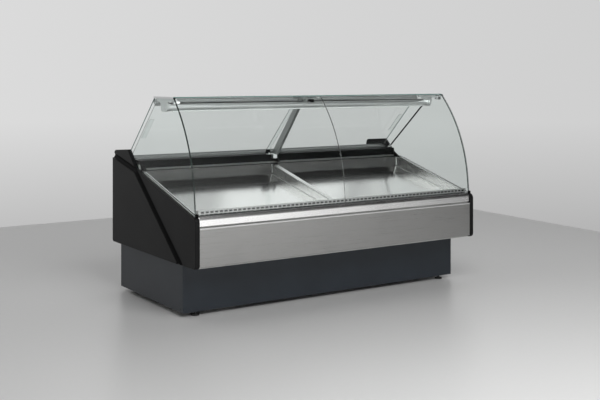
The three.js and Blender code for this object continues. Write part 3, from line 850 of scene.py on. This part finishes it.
def divider():
    low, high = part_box("bay_divider")
    front_y, rear_y = DECK
    top_front, top_rear = rim_z(front_y) + 0.004, high.z
    wall = [on_deck(front_y, -0.03), on_deck(rear_y, -0.03)]
    wall += [(rear_y, top_rear - 0.003), (front_y, top_front - 0.003)]
    bm = bmesh.new()
    prism(bm, rounded(wall), low.x, high.x, bevel=0.0025)
    piece("divider_wall", bm, LINER_STEEL, "bay_divider")
    # The cap is in the brighter steel: painted highlight along the divider's top.
    bm = bmesh.new()
    cap = [(front_y - 0.001, top_front), (rear_y - 0.02, top_rear - 0.0045)]
    prism(bm, sheet(cap, 0.004), low.x + 0.0045, high.x + 0.0008, bevel=0.0015)
    # Thin strips of the brighter steel at the divider's rear corners: painted highlight.
    width = 0.0022
    for x in (low.x - width, high.x):
        prism(bm, rectangle(0.7715, 0.7735, *CORNER_HIGHLIGHT), x, x + width)
    piece("divider_cap_highlight", bm, EDGE_HIGHLIGHT_STEEL)
    bm = bmesh.new()
    stop = [(0.7655, 0.762), (0.7725, 0.762), (0.7725, 0.792, 0.003), (0.7655, 0.789)]
    prism(bm, rounded(stop), -0.05, -0.024, 0.001)
    piece("divider_stop", bm, BLACK_TRIM)


def well():
    along = (-LINER_X, LINER_X)
    duct = [(0.774, 0.64), (0.774, 0.789, 0.005), (0.788, 0.8043)]
    hem = [(0.7775, 0.794), (0.787, 0.8043, 0.002), (0.7885, 0.8045)]
    cover = [(0.7885, 0.8055), (0.8018, 0.82, 0.003), (0.8018, 0.8505, 0.003), (0.806, 0.8505)]
    bent_sheet("duct_sheet", duct, 0.0016, along, DUCT_STEEL, "rear_air_duct_panel")
    # A strip of lighter steel laid on the duct's bend: painted highlight on the bend.
    bent_sheet("duct_bend_highlight", hem, 0.0012, along, STRIP_STEEL)
    bent_sheet("duct_cover", cover, 0.0016, along, BLACK_TRIM)
    bm = bmesh.new()
    for x in (-0.9, -0.5, -0.14, 0.06, 0.5, 0.9):
        screw(bm, (x, FRONT + 0.79, 0.8048), (0, -0.76, 0.65), 0.004, 0.002)
    piece("duct_screws", bm, ZINC)
    for hand, side in SIDES:
        deck_pan(hand)
        liner(hand, side)
    divider()
    dress(TUB_SKIN, "insulated_tub")
    evaporator()


BLADE_STEPS = 6
BLADE_HALF = 0.0009
COIL_PIPE = 0.0045
BEND_DEPTH = 0.011


def fan(name, hub_radius, depth, blades, tilt, body):
    """Swept, twisted blades round a domed hub, within the CAD fan's box."""
    low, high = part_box(body)
    centre = (low + high) / 2
    radius = (high.x - low.x) / 2 - 0.001
    bm = bmesh.new()
    half = depth / 2
    hub = [(hub_radius * 0.5, -half), (hub_radius, -half * 0.7)]
    hub += [(hub_radius, half * 0.8), (hub_radius * 0.8, half)]
    turned(bm, hub, centre, (0, -1, 0), 28)
    for b in range(blades):
        add_blade(bm, centre, (hub_radius * 0.85, radius), 2 * math.pi * b / blades, tilt)
    piece(name, bm, FAN_PLASTIC, body, body, 50)


def add_blade(bm, centre, reach, start, tilt):
    """One blade from hub to tip: wider, flatter and further round with the radius."""
    rows = []
    for i in range(BLADE_STEPS + 1):
        t = i / BLADE_STEPS
        r = reach[0] + (reach[1] - reach[0]) * t
        pitch = tilt * (1.35 - 0.6 * t)
        width = reach[1] * (0.36 + 0.3 * t - 0.1 * t * t)
        sweep = start + 0.35 * t
        for face in (-BLADE_HALF, BLADE_HALF):
            row = []
            for k in range(BLADE_STEPS + 1):
                c = (k / BLADE_STEPS - 0.5) * width
                bow = 0.0025 * (1 - (2 * k / BLADE_STEPS - 1) ** 2)
                angle = sweep + c * math.cos(pitch) / r
                depth = c * math.sin(pitch) + bow + face
                x, z = centre.x + r * math.cos(angle), centre.z + r * math.sin(angle)
                row.append(bm.verts.new((x, centre.y + depth, z)))
            rows.append(row)
    skin(bm, [low + high[::-1] for low, high in zip(rows[::2], rows[1::2])])


def u_bends(bm, x, side, rows, columns):
    """Copper return bends on the end of a coil, between neighbouring rows."""
    for y in columns:
        for z0, z1 in rows:
            middle, reach = (z0 + z1) / 2, (z1 - z0) / 2
            arc = []
            for k in range(9):
                angle = math.pi * k / 8
                out = side * BEND_DEPTH * math.sin(angle)
                arc.append((x + out, y, middle - reach * math.cos(angle)))
            tube(bm, arc, COIL_PIPE, 8)


def evaporator():
    dress(FINS, "evaporator_coil")
    bm = bmesh.new()
    rows = ((0.41, 0.44), (0.47, 0.5), (0.53, 0.553))
    u_bends(bm, -0.7862, -1, rows, (0.015, 0.06, 0.105, 0.15))
    piece("evaporator_bends", bm, COPPER)
    dress(ZINC, "evaporator_fan_plate")
    for hand, _ in SIDES:
        node = f"evaporator_fan_{hand}"
        fan(f"evaporator_blades_{hand}", 0.018, 0.026, 4, math.radians(24), node)


# ---- service side


def service_side():
    along = (-BODY_X, BODY_X)
    rail = [(0.803, 0.825), (0.803, 0.851, 0.005), (0.899, 0.851, 0.003), (0.899, 0.835)]
    bent_sheet("rail_sheet", rail, 0.0024, along, BLACK_TRIM, "rear_rail")
    tracks = (("sill_track", SILL, SILL_METAL), ("head_track", HEAD, HEAD_METAL))
    for name, outline, finish in tracks:
        node = f"door_{name}"
        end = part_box(node)[1].x
        profile_bar(name, outline, (-end, end), finish, node, 0.0008)
    worktop = [(0.97, 0.838), (0.97, 0.867, 0.006), (1.141, 0.86, 0.006), (1.141, 0.829)]
    bent_sheet("worktop_sheet", worktop, 0.002, along, SERVICE_STEEL, "rear_worktop")
    rear_panel()
    controls()


def slotted(u_span, v_span, deep):
    """The head track on the door slope: a bar with an open slot under it for each door."""
    (u0, u1), (v0, v1) = u_span, v_span
    path = [(u0, v0)]
    for track in sorted(DOOR_TRACKS.values()):
        near, far = track - 0.0036, track + 0.0036
        path += [(near, v0), (near, v0 + deep), (far, v0 + deep), (far, v0)]
    path += [(u1, v0), (u1, v1), (u0, v1)]
    return [on_slope(u, v) for u, v in path]


HEAD = slotted((-0.031, 0.001), (0.452, 0.481), 0.022)
SILL = [
    *((0.9, 0.832), (0.968, 0.832), (0.968, 0.868, 0.003), (0.9515, 0.8755, 0.003)),
    *((0.9475, 0.8745), (0.9475, 0.838), (0.9395, 0.838), (0.9395, 0.8715)),  # outer door's slot
    *((0.9335, 0.8698), (0.9335, 0.838), (0.9255, 0.838), (0.9255, 0.8675)),  # inner door's slot
    *((0.903, 0.863, 0.002), (0.903, 0.8513), (0.9, 0.8513)),
]


def rear_panel():
    low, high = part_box("rear_panel")
    bm = bmesh.new()
    for x0, x1 in ((low.x, -0.337), (-0.333, 0.333), (0.337, high.x)):
        block(bm, (x0, low.y, low.z), (x1, high.y, high.z), 0.0012)
    piece("rear_skin", bm, SERVICE_STEEL, "rear_panel")
    bm = bmesh.new()
    for x in (-0.98, -0.66, -0.36, -0.31, 0.31, 0.36, 0.56, 0.98):
        for z in (low.z + 0.02, high.z - 0.028):
            screw(bm, (x, high.y, z), (0, 1, 0), 0.005, 0.0025)
    for x in (-0.98, 0.98):
        for z in (0.45, 0.64):
            screw(bm, (x, high.y, z), (0, 1, 0), 0.005, 0.0025)
    piece("rear_screws", bm, ZINC)


def controls():
    low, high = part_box("control_panel")
    dress(BLACK_TRIM, "control_panel")
    bm = bmesh.new()
    button = [(0.006, -0.001), (0.006, 0.0012), (0.005, 0.002), (0.002, 0.0022)]
    for x in (0.905, 0.885, 0.865):
        turned(bm, button, (x, high.y, 0.77), (0, 1, 0), 20)
    inset = 0.012
    for x in (low.x + inset, high.x - inset):
        for z in (low.z + inset, high.z - inset):
            screw(bm, (x, high.y, z), (0, 1, 0), 0.004, 0.002)
    piece("control_buttons", bm, ZINC)
    bm = bmesh.new()
    block(bm, *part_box("temperature_display"), 0.0015)
    piece("display_glass", bm, DISPLAY, "temperature_display")
    bm = bmesh.new()
    rocker = [
        (0.5655, 0.756), (0.5731, 0.7565, 0.0015), (0.5705, 0.77, 0.01),
        (0.5745, 0.7835, 0.0015), (0.5675, 0.784), (0.5635, 0.77),
    ]
    prism(bm, rounded([(y - FRONT, z, *r) for y, z, *r in rocker]), 0.689, 0.711, bevel=0.001)
    piece("switch_rocker", bm, RUBBER, "light_switch", "light_switch")


# ---- plinth and condensing unit


def plinth():
    fold = 0.0015
    bm = bmesh.new()
    block(bm, *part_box("plinth_front_panel"), fold)
    piece("plinth_front", bm, PLINTH_PAINT, "plinth_front_panel")
    for hand, side in SIDES:
        low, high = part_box(f"plinth_{hand}_panel")
        bm = bmesh.new()
        block(bm, low, high, fold * 0.8)
        for y in (low.y + 0.03, high.y - 0.03):
            outer = high.x if side > 0 else low.x
            screw(bm, (outer, y, low.z + 0.02), (side, 0, 0), 0.004, 0.0015)
        piece(f"plinth_side_{hand}", bm, PLINTH_PAINT, f"plinth_{hand}_panel")
    dress(PLINTH_PAINT, "plinth_rear_grille")
    base()
    unit()


def base():
    """Two bearers, and at each end of them a post and a levelling foot."""
    bearers = (("front", 0.2, 0.24, 0.0025), ("rear", 1.076, 1.036, -0.0025))
    for place, y, open_y, thickness in bearers:
        line = [(open_y, 0.055), (y, 0.055, 0.003), (y, 0.115, 0.003), (open_y, 0.115)]
        node = f"base_bearer_{place}"
        bent_sheet(f"bearer_{place}", line, thickness, (-1.0, 1.0), ZINC, node)
        for hand, _ in SIDES:
            name = f"{place}_{hand}"
            low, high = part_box(f"base_post_{name}")
            bm = bmesh.new()
            block(bm, low, high, 0.004)
            for z in (low.z + 0.002, high.z - 0.002):
                start = (low.x - 0.005, low.y + 0.002, z - 0.002)
                block(bm, start, (high.x + 0.005, high.y - 0.002, z + 0.002), 0.0008)
            piece(f"post_{name}", bm, ZINC, f"base_post_{name}")
            foot(name)


def foot(name):
    low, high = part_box(f"foot_{name}")
    spot = ((low.x + high.x) / 2, (low.y + high.y) / 2, 0)
    pad = [
        (0.022, 0), (0.0245, 0.001), (0.025, 0.004), (0.0238, 0.0085), (0.014, 0.0125),
        (0.009, 0.0135),
    ]
    bm = bmesh.new()
    turned(bm, pad, spot, segments=40)
    piece(f"foot_pad_{name}", bm, RUBBER, f"foot_{name}")
    bm = bmesh.new()
    thread = [(0.0078 + 0.0005 * (k % 2), 0.0135 + 0.0014 * k) for k in range(29)]
    turned(bm, thread, spot, segments=20)
    nut = [(0.0125, 0.030), (0.014, 0.0315), (0.014, 0.0385), (0.0125, 0.04)]
    turned(bm, nut, spot, segments=6)
    piece(f"foot_stem_{name}", bm, CHROME)


def unit():
    low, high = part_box("unit_tray")
    y0, y1 = low.y - FRONT, high.y - FRONT
    tray = [(y0, 0.094), (y0, 0.07, 0.003), (y1, 0.07, 0.003), (y1, 0.094)]
    bent_sheet("tray_sheet", tray, -0.002, (low.x, high.x), ZINC, "unit_tray")
    compressor()
    low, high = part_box("condenser_coil")
    dress(FINS, "condenser_coil")
    bm = bmesh.new()
    rows = [(z, z + 0.022) for z in (0.095, 0.139, 0.183, 0.227)]
    for x, side in ((low.x, -1), (high.x, 1)):
        u_bends(bm, x, side, rows, (low.y + 0.015, high.y - 0.015))
    piece("condenser_bends", bm, COPPER)
    dress(BLACK_TRIM, "condenser_fan_shroud", "condenser_fan_motor")
    fan("condenser_blades", 0.02, 0.02, 5, math.radians(22), "condenser_fan")


def compressor():
    """A welded pot on a plate with four rubber mounts and a terminal box, and its two pipes."""
    pot = [
        (0.07, 0.096), (0.08, 0.099), (0.084, 0.108), (0.084, 0.168), (0.0865, 0.17),
        (0.0865, 0.178), (0.084, 0.18), (0.083, 0.21), (0.077, 0.24), (0.062, 0.257),
        (0.038, 0.266), (0.012, 0.269),
    ]
    mount = [(0.014, 0), (0.015, 0.006), (0.011, 0.01), (0.015, 0.014), (0.014, 0.02)]
    x, y = -0.23, FRONT + 0.56
    bm = bmesh.new()
    turned(bm, pot, (x, y, 0), segments=48)
    block(bm, (-0.32, FRONT + 0.48, 0.0743), (-0.14, FRONT + 0.64, 0.078), 0.001)
    block(bm, (-0.265, FRONT + 0.638, 0.13), (-0.195, FRONT + 0.672, 0.205), 0.004)
    for dx, dy in ((-0.07, -0.06), (0.07, -0.06), (-0.07, 0.06), (0.07, 0.06)):
        turned(bm, mount, (x + dx, y + dy, 0.078), segments=20)
    piece("compressor_pot", bm, BLACK_TRIM, "compressor")
    rise = FRONT + 0.67
    discharge = [
        (-0.25, rise, 0.17), (-0.25, rise + 0.05, 0.17), (-0.25, rise + 0.05, 0.25),
        (-0.06, rise + 0.05, 0.25), (-0.06, FRONT + 0.955, 0.25), (-0.042, FRONT + 0.955, 0.25),
    ]
    suction = [(-0.21, rise, 0.15), (-0.21, rise + 0.03, 0.15), (-0.21, rise + 0.03, 0.3)]
    bm = bmesh.new()
    tube(bm, bend(discharge, 0.02), 0.005, 10)
    tube(bm, bend(suction, 0.02), 0.007, 10)
    piece("refrigerant_pipes", bm, COPPER)


def bend(corners, radius, steps=5):
    """A pipe's line with its corners rounded."""
    corners = [Vector(c) for c in corners]
    line = [corners[0]]
    for before, here, after in zip(corners, corners[1:], corners[2:]):
        a, b = (before - here).normalized() * radius, (after - here).normalized() * radius
        for k in range(steps + 1):
            t = k / steps
            line.append(here + a * (1 - t) ** 2 + b * t ** 2)
    return line + [corners[-1]]


# ---- camera, light, floor


def floor():
    """A room's floor that ends at the back wall and at the right wall."""
    paint = Shader("pale_floor", (0.56, 0.56, 0.557), 0.34)
    paint.feed("Roughness", paint.spread(paint.noise(40, 2), 0.32, 0.36))
    mesh = bpy.data.meshes.new("floor")
    corners = [(3.614, 3.561, 0), (-16, 3.46, 0), (-16, -14, 0), (2.7, -14, 0)]
    mesh.from_pydata(corners, [], [(0, 1, 2, 3)])
    mesh.materials.append(paint.material)
    scene_link(bpy.data.objects.new("floor", mesh))


def surroundings():
    """The world's brightness: pale walls, a bright front wall and a darker ceiling over it."""
    world = bpy.data.worlds.new("studio")
    bpy.context.scene.world = world
    world.use_nodes = True
    nodes, links = world.node_tree.nodes, world.node_tree.links
    direction = nodes.new("ShaderNodeTexCoord").outputs["Generated"]

    def graded(toward, *limits):
        """From the third limit to the fourth, as the view turns towards a direction."""
        along = nodes.new("ShaderNodeVectorMath")
        along.operation = "DOT_PRODUCT"
        links.new(direction, along.inputs[0])
        along.inputs[1].default_value = toward
        ramp = nodes.new("ShaderNodeMapRange")
        links.new(along.outputs["Value"], ramp.inputs["Value"])
        for socket, limit in zip((1, 2, 3, 4), limits):
            ramp.inputs[socket].default_value = limit
        return ramp.outputs[0]

    def combined(operation, a, b):
        made = nodes.new("ShaderNodeMath")
        made.operation = operation
        links.new(a, made.inputs[0])
        links.new(b, made.inputs[1])
        return made.outputs[0]

    wall = graded((0, 0, 1), -0.16, -0.045, 0.5, 0.71)
    right_wall = graded((1, -0.15, 0), 0.1, 0.9, 1.0, 0.84)
    left_wall = graded((1, 0, 0), -0.45, 0, 0.7, 1)
    bright_front = graded((-0.35, -0.94, 0), 0.46, 0.76, 0.2, 3.8)
    rear_half = graded((0, 1, 0), -0.4, 0, 0, 1)
    front_foot = graded((0, 0, 1), -0.18, -0.08, 1, 5)
    front_wall = combined("MINIMUM", combined("MAXIMUM", bright_front, rear_half), front_foot)
    rear_ceiling = graded((0, 1, 0), -0.15, 0.25, 0, 1)
    front_ceiling = graded((0, 0, 1), 0, 0.16, 1, 0.15)
    ceiling = combined("MAXIMUM", rear_ceiling, front_ceiling)
    shade = wall
    for part in (right_wall, left_wall, front_wall, ceiling):
        shade = combined("MULTIPLY", shade, part)
    links.new(shade, nodes["Background"].inputs["Color"])
    nodes["Background"].inputs["Strength"].default_value = 1.0


def lamp(name, place, aim, size, power):
    """A softbox at a place, turned to its aim."""
    data = bpy.data.lights.new(name, "AREA")
    data.shape = "RECTANGLE"
    data.size, data.size_y = size
    data.energy = power
    obj = scene_link(bpy.data.objects.new(name, data))
    obj.location = place
    obj.rotation_euler = (Vector(aim) - Vector(place)).to_track_quat("-Z", "Y").to_euler()
    return obj


def camera():
    scene = bpy.context.scene
    scene.view_settings.view_transform = "Standard"
    data = bpy.data.cameras.new("camera")
    data.sensor_width = 36
    data.lens = 58.25
    data.shift_y = -0.2057
    obj = scene_link(bpy.data.objects.new("camera", data))
    obj.location = (-3.4951, -5.3598, 1.3749)
    obj.rotation_euler = (QUARTER, 0, math.radians(-33.33))
    scene.camera = obj


camera()
floor()
surroundings()
lamp("rear_softbox_left", (3.65, 4.95, 4.1), (-0.3, -0.3, 0.6), (1.6, 1.7), 4.9)
lamp("rear_softbox_right", (5.5, 4.5, 3.9), (0.6, -0.1, 0.6), (1.3, 1.5), 1.45)
lamp("rear_softbox_side", (-3.8, 4.8, 3.9), (0.6, -0.1, 0.6), (2.2, 1.8), 17)
lamp("front_softbox", (-1.1, -3.7, 3.8), (-0.3, -2.3, 0), (2.4, 2.4), 123)
low_lamp = lamp("front_softbox_low", (-0.1, -4.6, 3.0), (0, -4.5, 0), (2.2, 1.8), 80)
low_lamp.visible_glossy = low_lamp.visible_transmission = False  # no mirror image in the glass
for hand, side in SIDES:
    end_panel(hand, side)
front()
glass()
canopy()
post()
conduit()
dress(LENS, "lamp_lens")
well()
service_side()
plinth()
